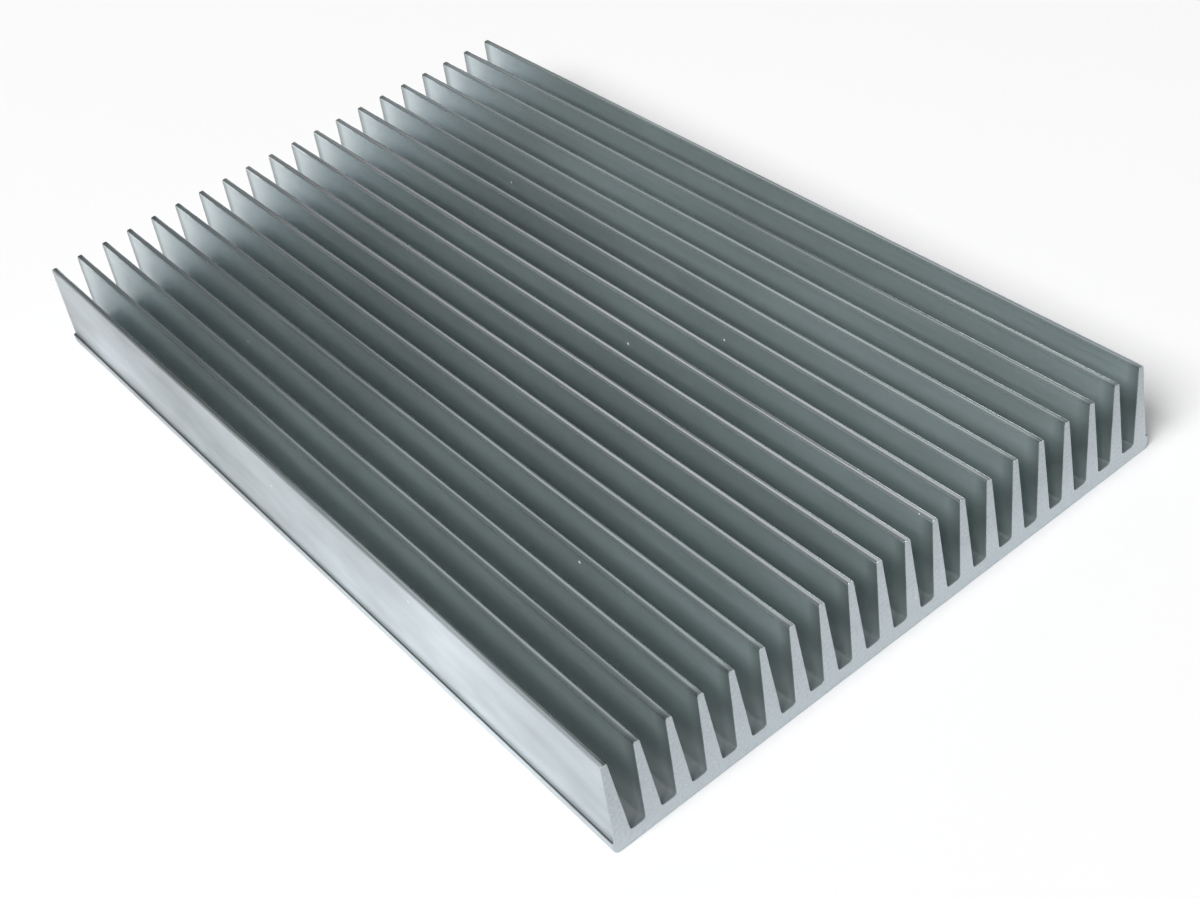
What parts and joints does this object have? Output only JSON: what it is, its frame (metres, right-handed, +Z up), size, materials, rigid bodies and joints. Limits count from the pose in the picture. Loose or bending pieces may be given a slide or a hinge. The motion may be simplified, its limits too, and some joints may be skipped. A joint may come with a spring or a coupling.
{
  "type": "extruded heat sink",
  "caption": "Flat-based aluminium heat sink with a comb of straight tapered fins, cut from one extruded section.",
  "frame": {"origin": "middle of the flat underside of the base", "axes": "+Z up from the base to the fin tips, Y along the fins and the length of the extrusion, X across the comb of fins"},
  "size_m": [0.093, 0.15, 0.015],
  "materials": {
    "mill_aluminium": "mill finish with fine lines along the extrusion, and fresh saw cuts on both ends"
  },
  "bodies": {
    "root": {"heat_sink": "mill_aluminium"}
  },
  "joints": []
}
